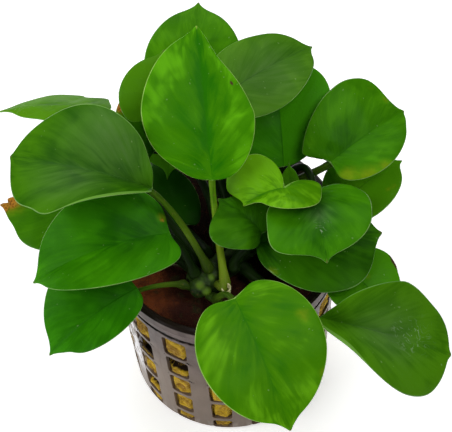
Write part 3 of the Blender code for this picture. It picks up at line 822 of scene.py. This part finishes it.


# One row for each leaf: its tone, the two ends of its midrib from notch to tip, the stalk's foot
# on the rhizome and the half width, then whatever is out of the ordinary.
# way is a place that the stalk passes half way up.
# swell and bites push the margin out or eat into it: (station, side, mm, width as a station).
# hem is a pale turned-over edge: (side, first and last station, mm).
# gold, rust, scorch, pale scratches, a painted grey sheen, and light and dim patches are marks:
# (station, across, reach).
LEAVES = (
    grow(YOUNG, (-1.7, -3, 80), (-3, 25.5, 98), (-0.3, -17.2, 57.2), (10.8, 14.3), fold=0.12,
         cup=0.0, arch=1.5, lobe=1, egg=0.0, point=(1.7, 1.25), mucro=(6, 1.2), taper=(0.27, 0.16),
         spike=0.6, swell=((0.2, -1, -1.3, 0.13),), way=(-1.5, -4.8, 65.6), stalk=1.0, slim=0.82,
         young=1.0, shade=(-0.50, -0.30), fresh=0.4, scorch=((0.73, 0.77, 0.22),),
         light=((0.52, 0.45, 3.0), (0.76, -0.65, 4.0)), dim=((0.62, 0.42, 1.8), (0.75, 0.0, 4.0))),
    grow(GREEN, (-5.5, 20.5, 78), (-2.5, 43, 86), (6.0, -0.6, 58.4), 11.5, fold=0.1,
         way=(2.5, 9.0, 66.5), shade=-0.1),
    grow(GREEN, (1, 15, 86), (23, 33, 80), (8.4, 2.8, 58.4), (10, 9.5), roll=-12, fold=0.1,
         egg=(0.2, 0.1), swell=((0.75, -1, 0.4, 0.12), (0.84, 1, 0.3, 0.07)), way=(4.0, 10.0, 68),
         shade=0.1, fresh=0.0, gold=((0.52, 0.83, 0.7),), bloom=((0.55, 0.2, 11.0),)),
    grow(DEEP, (-15.6, 16, 78.5), (-11.2, 28.9, 86.5), (1.5, -4.5, 58.6), (7.1, 7.6),
         way=(-3.5, 12.5, 71.0), shade=0.85, fresh=0.0),
    grow(DEEP, (-15, 15.9, 66.5), (-22, 27.0, 74.5), (-1.2, -6.0, 57.9), 6.3,
         way=(-5.6, 9.4, 66.5), shade=0.1, gold=((0.83, -0.5, 2.2),), rust=((0.85, -0.67, 1.7),)),
    grow(GREEN, (-15, -4, 80), (-45.5, 4, 84), (-4.0, -12.6, 59.2), (14.5, 15.5), roll=8, fold=1.5,
         flat=-0.1, lobe=2, egg=(0.0, -0.2), mucro=0.4, spike=0.4, swell=((0.59, -1, 1.3, 0.05),
         (0.70, -1, -0.9, 0.06), (0.17, 1, -1.4, 0.1), (0.45, 1, 1.2, 0.2)),
         hem=(-1, 0.02, 0.55, 2.3), stalk=0.35, slim=0.76, shade=-0.5, fresh=0.0,
         bloom=((0.45, 0.5, 9.0), (0.60, -0.3, 7.0)), light=((0.18, 0.85, 4.5), (0.08, 0.7, 2.0),
         (0.15, -0.95, 2.0)), dim=((0.28, 0.6, 2.6),)),
    grow(GREEN, (-29.5, 27.5, 70), (-50.5, 28, 70), (-5.6, -9.6, 57.6), (8.3, 9), roll=-36,
         fold=(0.05, -0.25), cup=0.0, arch=1, lobe=(5.5, 3), cut=0.16, plump=(0.5, 1.0),
         point=(1.1, 1.9), mucro=2.2, wrap=(3.5, 0.0), swell=((0.72, 1, -0.7, 0.15),
         (0.24, 1, 1.6, 0.05), (0.31, 1, -2.6, 0.04)), way=(-18.5, 9.0, 64.3), shade=0.8,
         fresh=0.0, pale=((0.90, 0.1, 2.5),), dim=((0.16, 0.6, 4.0),)),
    grow(GREEN, (-30, 5, 56), (-52.5, 12, 54), (-8.6, -9.6, 56.2), 10, roll=20,
         swell=((0.62, -1, 0.5, 0.12), (0.79, -1, -0.9, 0.10)), bites=((0.906, 1, 3.2, 0.010),
         (0.965, 1, 3.0, 0.007)), gold=((0.88, 0.5, 5.0),), rust=((0.92, 0.85, 3.2),
         (0.98, -0.6, 2.3))),
    grow(GREEN, (-12, -9, 69), (-43, -15, 62), (-7.2, -12.8, 57.6), (14, 12), roll=8, fold=0.45,
         arch=4.5, lobe=(2, 3.4), egg=0.2, swell=((0.22, -1, 0.8, 0.1),), shade=-0.1, fresh=0.75,
         gold=((0.13, 0.6, 1.2),), rust=((0.13, 0.5, 0.45),), light=((0.62, -0.45, 6.0),),
         dim=((0.35, 0.35, 6.0),)),
    grow(DEEP, (-20.5, -15.5, 57), (-41, -26.5, 49), (-9.9, -14.6, 55.8), (13, 8.8), roll=8,
         fold=0.4, arch=3, lobe=(0.5, 1), swell=((0.82, -1, -1.1, 0.1), (0.55, 1, 0.5, 0.12)),
         stalk=0.3, slim=0.6, shade=0.1, fresh=0.9),
    grow(YOUNG, (1.5, -27.5, 70), (11.5, -52, 55), (-2.6, -18.7, 55.3), (13.4, 15.1), fold=0.1,
         lobe=(2.5, 3.4), mucro=(2, 1.6), spike=0.6, swell=((0.08, -1, 0.8, 0.06),
         (0.55, -1, 0.4, 0.15)), stalk=0.2, slim=0.75, shade=-0.16, fresh=0.1,
         gold=((0.43, -0.8, 1.8), (0.70, -1.0, 1.4)), pale=((0.52, -0.57, 0.5), (0.60, 0.57, 0.5)),
         light=((0.42, 0.5, 3.0),)),
    grow(DEEP, (20, -28, 60), (48.5, -35, 52), (4.2, -10.6, 54.6), (14.2, 13.6), roll=-14,
         fold=1.3, flat=0.0, lobe=1, egg=(-0.2, -0.3), point=(1.0, 1.25), mucro=0.2, spike=0.7,
         swell=((0.66, -1, -1.3, 0.12), (0.80, 1, 0.7, 0.08), (0.30, 1, -1.1, 0.14),
         (0.64, -1, -0.3, 0.1), (0.77, -1, -1.5, 0.1), (0.15, -1, -1.5, 0.12),
         (0.90, 1, 0.5, 0.07)), hem=(1, 0.01, 0.44, 3.2), way=(13, -21.5, 56.6), shade=0.45,
         fresh=0.0, pale=((0.77, -0.10, 3.0), (0.68, -0.22, 1.4)), bloom=((0.62, 0.0, 6.5),)),
    grow(GREEN, (28, -14.3, 57), (37, -24.1, 50), (8.7, -5.9, 54.9), (7.5, 9), lobe=(2.5, 5),
         swell=((0.5, -1, 0.7, 0.14), (0.35, 1, 1.8, 0.2)), bites=((0.55, -1, 0.5, 0.02),
         (0.62, -1, 0.4, 0.015)), shade=0.9, fresh=0.5, gold=((0.42, -0.2, 0.9),),
         scorch=((0.56, -1.05, 1.2), (0.50, -1.05, 0.8))),
    grow(DEEP, (7.2, -9.1, 62.5), (35.4, -7.9, 62), (5.8, -7.6, 57.4), (14.5, 10.8), roll=-15,
         lobe=1, egg=(-0.28, 0.1), swell=((0.6, 1, -1.0, 0.15),), shade=-0.35,
         gold=((0.24, 0.97, 1.4),), pale=((0.25, 0.95, 0.8),)),
    grow(GREEN, (21, -0.5, 70), (22, -21, 73), (13.4, 8.0, 57.2), 12, egg=(-0.2, 0.1),
         point=(0.45, 0.7), mucro=0.9, swell=((0.75, 1, 0.7, 0.12),), way=(19.0, 8.9, 66.2),
         shade=-0.30, fresh=0.45, pale=((0.74, 0.0, 1.5),), bloom=((0.60, 0.0, 3.0),),
         light=((0.84, 0.85, 3.0),)),
    grow(YOUNG, (14, -3.5, 76), (5.3, -5.0, 72.5), (11.2, 2.6, 58.0), (10.3, 7.4), roll=12,
         fold=(0.2, 0.65), arch=1.5, lobe=(0.6, 7.6), cut=0.15, egg=(-0.12, 0.3),
         plump=(1.0, 0.62), point=(0.8, 1.0), mucro=(-4.6, 2.4), taper=(0.5, 0.2), spike=0.6,
         wrap=(0.0, 4.2), curl=(0.0, 0.25), swell=((0.65, 1, 0.2, 0.12), (0.35, -1, 0.6, 0.15),
         (0.87, 1, 1.9, 0.08), (0.19, 1, 1.0, 0.09), (0.31, 1, 1.2, 0.10), (0.76, -1, -1.0, 0.12)),
         way=(11.6, 3.6, 68.5), stalk=0.5, young=0.7, shade=(0.72, 0.05), fresh=0.0),
    grow(DEEP, (8.6, -9.2, 67), (-0.2, -1.2, 69.5), (1.8, -11.9, 57.7), (7, 9.2), arch=1.5,
         egg=(0.1, -0.25), swell=((0.62, -1, 0.7, 0.2),), way=(4.4, -10.6, 62.6)),
    # Leaf 18: the left half is painted darker, a painted shadow.
    grow(GREEN, (15, 9.5, 66), (14.5, 32.5, 78), (12.6, 10.4, 57.4), (12.4, 11.5), fold=0.2,
         lobe=(0, 2.5), egg=(-0.15, 0.1), point=(0.8, 1.0), shade=(1.8, 0.1), fresh=0.8),
    grow(GREEN, (25.5, 7, 70), (43.5, 20, 70), (15.4, 9.8, 56.4), (10, 13.5), roll=-15, fold=0.35,
         lobe=(2.5, 5.5), egg=(0.15, -0.25), plump=(1.0, 0.75), point=(1.0, 0.8),
         swell=((0.80, -1, 1.1, 0.09), (0.93, 1, 0.7, 0.06), (0.10, -1, 1.2, 0.07)), stalk=0.3,
         fresh=0.4, gold=((0.22, 0.8, 2.6), (0.34, 0.95, 3.0), (0.47, 1.0, 2.4),
         (0.88, -0.70, 0.9), (0.78, -0.77, 0.7))),
    grow(GREEN, (27.5, 1, 60), (42.5, 11.5, 62), (14.0, 0.4, 55.4), (8.3, 9.5), shade=1.3,
         gold=((0.63, 0.67, 0.7), (0.68, 0.77, 0.8))),
    grow(DEEP, (15.9, 3.1, 65), (15.9, 5.6, 72), (14.8, 3.8, 57.4), 2.2, arch=1, lobe=0.3,
         mucro=0.5, shade=0.5),
    grow(DEEP, (-10.3, 22.7, 63.4), (-12.3, 12.2, 61.4), (3.0, -2.4, 57.4), 6,
         swell=((0.58, 1, 1.3, 0.16), (0.70, 1, 0.6, 0.08)), shade=0.9),
    # Leaf 23 is painted nearly black, as painted shade deep among the leaves.
    grow(DEEP, (-9.1, 1.0, 57), (-15.8, 18.6, 57.5), (-4.3, -6.8, 56.8), 6,
         swell=((0.84, -1, 1.5, 0.12),), shade=-2.0),
)


def leaf_axes(leaf):
    """The notch, the midrib's length, and the blade's right, forward and upward directions."""
    notch = Vector(leaf["notch"])
    midrib = Vector(leaf["tip"]) - notch
    forward = midrib.normalized()
    level = forward.cross(Vector((0, 0, 1))).normalized()
    up = level.cross(forward)
    roll = math.radians(leaf["roll"])
    right = level * math.cos(roll) + up * math.sin(roll)
    normal = up * math.cos(roll) - level * math.sin(roll)
    return notch, midrib.length, right, forward, normal


def blade_place(leaf, station, across):
    """A point's place across and along the blade and its rise, in mm, and its half's tilt.

    station runs along the margin from the notch (0) to the tip (1), and across from the left
    margin (-1) over the midrib (0) to the right margin (1).
    """
    length = leaf_axes(leaf)[1]
    half, lobe, mucro, taper, point, egg, plump, wrap, curl, slope, _ = (
        leaf[name][1 if across < 0 else 0] for name in PAIRS)
    turn = math.pi * (1 - station)
    past = math.pi - turn
    ahead = math.cos(turn)
    if ahead > 0:
        ahead = ahead ** point
        plump = 1.0
    margin_y = (length - mucro - lobe) / 2 + (length - mucro + lobe) / 2 * ahead
    margin_y += lobe * bump(past, leaf["cut"]) + mucro * bump(turn, taper)
    margin_y += leaf["spike"] * bump(turn, SPIKE_ANGLE)
    margin_x = half * abs(math.sin(turn)) ** plump * (1 - egg * math.cos(turn))
    margin_x -= wrap * bump(past - 0.2, 0.25) * min(past / 0.1, 1.0)
    for place, pushed, depth, width in leaf["swell"]:
        if pushed * across > 0:
            out = Vector((margin_x, margin_y - length / 2)).normalized()
            out *= depth * bump(station - place, width)
            out *= min(station / SWELL_FADE, (1 - station) / SWELL_FADE, 1.0)
            margin_x += out.x
            margin_y += out.y
    for place, bitten, depth, width in leaf["bites"]:
        if bitten * across > 0:
            rough = 0.7 + 0.6 * noise.noise(Vector((station * 90, depth, 0)))
            share = depth * rough * bump(station - place, width) / half
            margin_x *= 1 - share
            margin_y -= share * (margin_y - length / 2)
    rib_y = length * station ** 1.5
    x = margin_x * across
    y = rib_y + (margin_y - rib_y) * abs(across)
    if "flat" in leaf:
        slope += (leaf["flat"] - slope) * min(max(y / length, 0), 1)
    tilt = math.atan(slope)
    rise = math.sin(tilt) * (math.hypot(x, CREASE) - CREASE)
    rise += leaf["cup"] * x * x / half
    rise += leaf["arch"] * 4 * (y / length) * (1 - y / length)
    rise += curl * max(-y, 0.0)
    return x, y, rise, tilt


def blade_point(leaf, station, across):
    """A point of the blade in metres, with its sunken midrib, its raised side veins and waves."""
    notch, length, right, forward, normal = leaf_axes(leaf)
    x, y, rise, tilt = blade_place(leaf, station, across)
    rise -= MIDRIB_SINK * bump(x, MIDRIB_WIDTH) * (1 - 0.8 * station) * min(station * 12, 1)
    fade = math.sin(math.pi * min(station * 1.15, 1.0)) ** 0.5 if station < 0.87 else 0.0
    vein = VEIN_HEIGHT * math.cos(math.tau * VEINS * (station + 0.05 * abs(across)))
    rise += vein * min(abs(x) / 2.5, 1.0) * (1 - abs(across) ** 6) * fade
    start = Vector((x, y, sum(leaf["tip"]))) * 0.12
    rise += UNEVENNESS * noise.noise(start) * min(abs(x) / 4, 1.0)
    return (notch + right * (x * math.cos(tilt)) + forward * y + normal * rise) * MM


def blade_mark(leaf, kind):
    """A layer that is 1 in the marks of this kind on a leaf and 0 elsewhere."""
    marks = [(blade_place(leaf, station, across), reach)
             for station, across, reach in leaf.get(kind, ())]

    def strength(u, v):
        x, y, rise, tilt = blade_place(leaf, stretch(v), spread(u))
        return max([bump(math.hypot(x - centre[0], y - centre[1]), reach)
                    for centre, reach in marks], default=0.0)
    return strength


def hem_depth(leaf):
    """A layer with how far, in mm, a place lies inside the leaf's turned-over edge."""
    side, first, last, width = leaf["hem"]

    def depth(u, v):
        share = (stretch(v) - first) / (last - first)
        if width == 0.0 or spread(u) * side < 0.0 or not 0.0 < share < 1.0:
            return -1.0
        half = leaf["half"][0 if side > 0 else 1]
        return width * math.sin(math.pi * share) - (1 - abs(spread(u))) * half
    return depth


def spread(u):
    """Across (-1 to 1) for a share of the grid's width, with finer columns at the midrib."""
    t = 2 * u - 1
    return t * (0.45 + 0.55 * abs(t))


def stretch(v):
    """Station (0 to 1) for a share of the grid's length, with finer rows at notch and tip."""
    return v - 0.8 * math.sin(math.tau * v) / math.tau


def leaf_finish(name, dark, middle, light, roughness):
    """The upper skin of a blade, with its vein streaks, painted sheen and stored marks."""
    made = Finish(name, Specular_IOR_Level=0.035)
    u, v = made.own_map()
    young = made.own("young")
    out = abs(u - 0.5) * 2.0
    clouds = made.noise(0.10, 2.0, distortion=0.5)
    grain = made.noise(1.3, 3.0)
    half_seed = made.own("seed") + u.between(0.499, 0.501) * 5.0
    vein = v - out * 0.20
    streak = made.streaks(out * 1.6, vein * 44.0, half_seed, 2.0, 0.5)
    bands = made.streaks(out * 2.2, vein * 12.0, half_seed, 2.5, 0.8)
    # shade mixes each leaf's tone and its painted light and shade with patches, clouds and vein
    # bands.
    shade = made.own("shade") + made.own("light") * 0.5 + (clouds.between(0.36, 0.64) - 0.5) * 0.5
    shade = shade + (bands.between(0.34, 0.66) - 0.5) * (0.36 + 0.15 * young)
    shade = shade + (streak - 0.5) * 0.6
    edge = out.between(0.30, 0.85) * v.between(0.10, 0.40)
    edge = edge - out.between(0.30, 0.0) * v.between(0.2, 0.5)
    shade = shade + edge * (0.12 + 0.50 * young) + v.between(0.80, 0.97) * 0.5 * young
    rib = out.between(0.050, 0.014) * v.between(0.75, 0.30)
    colour = made.mix(dark, (shade.between(-0.9, 0.1), middle), (shade.between(0.0, 0.9), light),
                      (rib * 0.7, dark))
    # The painted sheen mixes a grey-green into the colour where leaves catch the back light.
    bloom = made.own("bloom") * (0.2 + 1.6 * streak * bands)
    gold = made.own("gold") * (0.55 + 0.9 * made.noise(0.7, 3.0))
    rust = made.own("rust") * (0.5 + 1.0 * made.noise(0.9, 3.0))
    burnt = made.mix((0.46, 0.19, 0.020),
                     (made.noise(1.8, 3.0).between(0.45, 0.65), (0.17, 0.055, 0.010)))
    scorch = made.own("scorch") * (0.5 + 1.0 * made.noise(1.1, 3.0))
    scratch = abs(made.noise(0.30, 1.0, distortion=2.0) - 0.5).between(0.030, 0.010)
    pale = made.own("pale") * scratch * made.noise(0.9, 2.0).between(0.40, 0.60)
    specks = made.noise(1.1, 1.0).between(0.755, 0.785)
    point = v.between(0.962, 0.985)
    colour = made.mix(colour, (made.own("fresh"), made.scaled(colour, (0.45, 1.0, 0.5))),
                      (bloom * 0.45, (0.120, 0.180, 0.092)),
                      (gold.between(0.2, 1.1) * 0.6, (0.22, 0.30, 0.006)),
                      (rust.between(0.15, 0.80) * 0.95, burnt),
                      (scorch.between(0.25, 0.55), SCORCHED), (pale * 0.6, (0.42, 0.56, 0.34)),
                      (specks * 0.25, (0.36, 0.50, 0.20)),
                      (made.own("hem").between(0.0, 0.25), (0.150, 0.345, 0.045)),
                      (point * (1 - young), (0.05, 0.030, 0.015)),
                      (point * young * 0.6, (0.40, 0.50, 0.10)))
    made.use(colour, roughness + 0.12 * (clouds - 0.5) + 0.10 * grain + 0.2 * pale,
             0.05 * streak + 0.035 * grain + 0.03 * made.noise(0.5, 2.0))
    return made


def under_finish(name, colour, vein):
    """The duller and paler underside of a blade."""
    made = Finish(name, Specular_IOR_Level=0.2)
    grain = made.noise(1.1, 3.0)
    clouds = made.noise(0.15, 2.0)
    made.use(made.mix(colour, (clouds.between(0.3, 0.7), vein)), 0.55 + 0.1 * grain, 0.05 * grain)
    return made


def rim_finish(name, colour, other):
    """The thin pale rim of a blade, partly painted light, dark where it is scorched or rusty."""
    made = Finish(name, Specular_IOR_Level=0.25)
    scorch = made.own("scorch") + made.own("rust") * 0.7
    colour = made.mix(colour, (made.noise(0.25, 3.0).between(0.35, 0.65), other),
                      (scorch.between(0.25, 0.6), SCORCHED))
    made.use(colour, 0.45, 0.03 * made.noise(1.5, 2.0))
    return made


def thicken(thing, thickness):
    """Gives a sheet a thickness in mm and smooths it. The first modifier is handed back."""
    skin = thing.modifiers.new("thickness", "SOLIDIFY")
    skin.thickness = thickness * MM
    skin.offset = 0.0
    smooth = thing.modifiers.new("smooth", "SUBSURF")
    smooth.levels = smooth.render_levels = 1
    return skin


SCORCHED = (0.07, 0.035, 0.018)
TONES = {}
# The pale rim colours are partly painted light that the thin edges catch.
for tone, slot, roughness, top, under, rim in (
        (YOUNG, "young_leaf", 0.38,
         ((0.024, 0.160, 0.0005), (0.060, 0.225, 0.0005), (0.150, 0.425, 0.006)),
         ((0.13, 0.33, 0.03), (0.19, 0.40, 0.05)), ((0.36, 0.60, 0.12), (0.22, 0.46, 0.05))),
        (GREEN, "leaf", 0.36,
         ((0.018, 0.098, 0.0005), (0.050, 0.185, 0.001), (0.088, 0.270, 0.003)),
         ((0.08, 0.22, 0.03), (0.12, 0.28, 0.05)), ((0.22, 0.42, 0.09), (0.11, 0.28, 0.04))),
        (DEEP, "deep_leaf", 0.35,
         ((0.012, 0.066, 0.0005), (0.038, 0.152, 0.001), (0.068, 0.225, 0.003)),
         ((0.05, 0.16, 0.03), (0.08, 0.21, 0.04)), ((0.16, 0.34, 0.07), (0.08, 0.22, 0.03)))):
    TONES[tone] = (slot, leaf_finish(f"{tone}_leaf", *top, roughness),
                   under_finish(f"{tone}_leaf_underside", *under),
                   rim_finish(f"{tone}_leaf_rim", *rim))

for number, leaf in enumerate(LEAVES, 1):
    slot, *finishes = TONES[leaf["tone"]]
    light, dim = blade_mark(leaf, "light"), blade_mark(leaf, "dim")
    marks = {kind: blade_mark(leaf, kind) for kind in ("gold", "rust", "scorch", "pale", "bloom")}
    blade = sheet(
        BLADE_COLUMNS, BLADE_ROWS, lambda u, v: blade_point(leaf, stretch(v), spread(u)),
        seed=lambda u, v: number * 1.37, shade=lambda u, v: leaf["shade"][0 if u > 0.5 else 1],
        light=lambda u, v: light(u, v) - dim(u, v), hem=hem_depth(leaf),
        young=lambda u, v: leaf["young"], fresh=lambda u, v: leaf["fresh"],
        thick=lambda u, v: 1.0 - 0.5 * abs(spread(u)) ** 3, **marks)
    bmesh.ops.remove_doubles(blade, verts=blade.verts, dist=SAME_BLADE_PLACE)
    made = add_piece(f"blade_{number:02d}", blade, slot, [f"leaf_{number:02d}"], *finishes)
    group = made.vertex_groups.new(name="thickness")
    for vert, share in zip(made.data.vertices, made.data.attributes["thick"].data):
        group.add([vert.index], share.value, "REPLACE")
    skin = thicken(made, BLADE_THICKNESS)
    skin.vertex_group = "thickness"
    skin.material_offset = 1
    skin.material_offset_rim = 2


# Leaf stalks: round, with a shallow groove, from a clasping foot on the rhizome to a pale
# swollen joint in the blade's notch. They taper into the midrib under the blade.
STALK_FOOT = 1.15
STALK_TOP = 0.8
STALK_STEPS = 22
STALK_SIDES = 16
# The stalk's top lies this far past the notch and this far under the blade.
STALK_REACH = 0.6
STALK_DROP = 1.45
SMALL_LEAF = 12
SMALL_STALK = 0.72
KEEL_STEPS = 6


def stalk_line(leaf):
    """Points in mm from the stalk's foot on the rhizome to its top under the blade's notch."""
    notch, length, right, forward, normal = leaf_axes(leaf)
    foot = Vector(leaf["foot"])
    top = notch + forward * STALK_REACH - normal * STALK_DROP
    span = (top - foot).length
    rising = (top - foot).normalized()
    first = foot + (rising + Vector((0, 0, 0.45))).normalized() * span * 0.35
    second = top - (rising * 0.7 + forward * 0.5).normalized() * span * 0.3
    if "way" in leaf:
        shift = (Vector(leaf["way"]) - (foot + first * 3 + second * 3 + top) / 8) * 4 / 3
        first += shift
        second += shift
    points = []
    for step in range(STALK_STEPS + 1):
        t = step / STALK_STEPS
        start = foot.lerp(first, t).lerp(first.lerp(second, t), t)
        end = first.lerp(second, t).lerp(second.lerp(top, t), t)
        points.append(start.lerp(end, t))
    return points


stalk_skin = Finish("stalk_skin", Specular_IOR_Level=0.06)
u, v = stalk_skin.own_map()
young = stalk_skin.own("young")
stripes = stalk_skin.streaks(u * 14.0, v * 3.0, stalk_skin.own("seed"), 2.0)
striped = stripes.between(0.35, 0.65)
# Shaded stalks are painted nearly black and lit ones bright green: painted shade and light, chosen
# by each stalk's young number.
shaded_stalk = stalk_skin.mix((0.003, 0.010, 0.001), (striped, (0.007, 0.020, 0.002)))
lit_stalk = stalk_skin.mix((0.090, 0.250, 0.006), (striped, (0.160, 0.370, 0.010)),
                        (v.between(0.62, 0.35) * young, (0.36, 0.54, 0.026)))
joint = v.between(0.80, 0.88) * v.between(0.97, 0.91)
freckles = stalk_skin.noise(2.2, 2.0, stretch=(1, 1, 0.5)).between(0.60, 0.70)
colour = stalk_skin.mix(
    shaded_stalk, (young, lit_stalk), (v.between(0.35, 0.05) * 0.75, (0.014, 0.032, 0.005)),
    (joint * 0.7, (0.12, 0.24, 0.03)), (freckles * young * 0.5, (0.30, 0.22, 0.05)))
stalk_skin.use(colour, 0.34 + 0.12 * stripes, 0.06 * stripes + 0.03 * stalk_skin.noise(1.5))

for number, leaf in enumerate(LEAVES, 1):
    notch, length, right, forward, normal = leaf_axes(leaf)
    slim = leaf["slim"] * (SMALL_STALK if length < SMALL_LEAF else 1.0)
    line = stalk_line(leaf)
    foot = line[0]
    heart = min((place for place, share in line_places), key=lambda place: (place - foot).length)
    line = [foot.lerp(heart, 0.55), foot.lerp(heart, 0.50), foot.lerp(heart, 0.22)] + line
    radii = [0.0, 1.2 * slim, 1.5 * slim]
    for step in range(STALK_STEPS + 1):
        radius = (STALK_FOOT + (STALK_TOP - STALK_FOOT) * step / STALK_STEPS) * slim
        radii.append(radius + 0.5 * bump(step, 2.2) + 0.12 * bump(step - STALK_STEPS + 1.5, 1.3))
    keel = min(length * 0.3, 6.0)
    for step in range(1, KEEL_STEPS + 1):
        share = 1 - step / KEEL_STEPS
        reach = keel * step / KEEL_STEPS
        x, y, rise, tilt = blade_place(leaf, (reach / length) ** (2 / 3), 0.0)
        sink = 0.35 + 0.62 * share ** 1.5
        line.append(notch + forward * (STALK_REACH + reach) + normal * (rise - sink))
        radii.append(0.78 * slim * share + 0.24)
    line.append(line[-1] + forward * 0.05)
    radii.append(0.0)
    stalk = tube(line, radii, STALK_SIDES, groove=0.10)
    made = add_piece(f"petiole_{number:02d}", stalk, "stalk", [f"stalk_{number:02d}"], stalk_skin)
    # A stalk's young number is how lit it is painted.
    for name, value in (("seed", number * 2.7), ("young", leaf["stalk"])):
        layer = made.data.attributes.new(name, "FLOAT", "POINT")
        layer.data.foreach_set("value", [value] * len(made.data.vertices))


# Dry sheath: the pale, curled end of an old leaf sheath beside the foot of the front stalk.
SHEATH_CENTRE = (-0.2, -18.4, 58.8)
SHEATH_RADIUS = 1.0
SHEATH_HEIGHT = 2.0
SHEATH_THICKNESS = 0.3
SHEATH_COLUMNS = 20
SHEATH_ROWS = 8
SHEATH_CURL = math.radians(250)
SHEATH_TURN = math.radians(40)


def sheath_place(u, v):
    """A point in metres of the curled sheath, whose upper edge is uneven."""
    turn = (u - 0.5) * SHEATH_CURL + SHEATH_TURN
    radius = SHEATH_RADIUS * (1 + 0.18 * (v - 0.5) + 0.10 * math.sin(turn * 2.3 + 1))
    height = (v - 0.5) * SHEATH_HEIGHT + 0.25 * math.sin(turn * 1.7) * v
    out = Vector((radius * math.sin(turn), -radius * math.cos(turn), height))
    return (Vector(SHEATH_CENTRE) + out) * MM


papery = Finish("dry_sheath", Specular_IOR_Level=0.4)
u, v = papery.own_map()
fibre = papery.noise(1.2, 3.0, stretch=(1, 1, 0.3))
colour = papery.mix((0.66, 0.62, 0.36), (fibre.between(0.35, 0.65), (0.38, 0.36, 0.14)),
                    (v.between(0.3, 0.0) * 0.6, (0.16, 0.20, 0.05)))
papery.use(colour, 0.55, 0.08 * fibre)
sheath = sheet(SHEATH_COLUMNS, SHEATH_ROWS, sheath_place)
thicken(add_piece("sheath_curl", sheath, "dry_sheath", ["dry_sheath"], papery), SHEATH_THICKNESS)
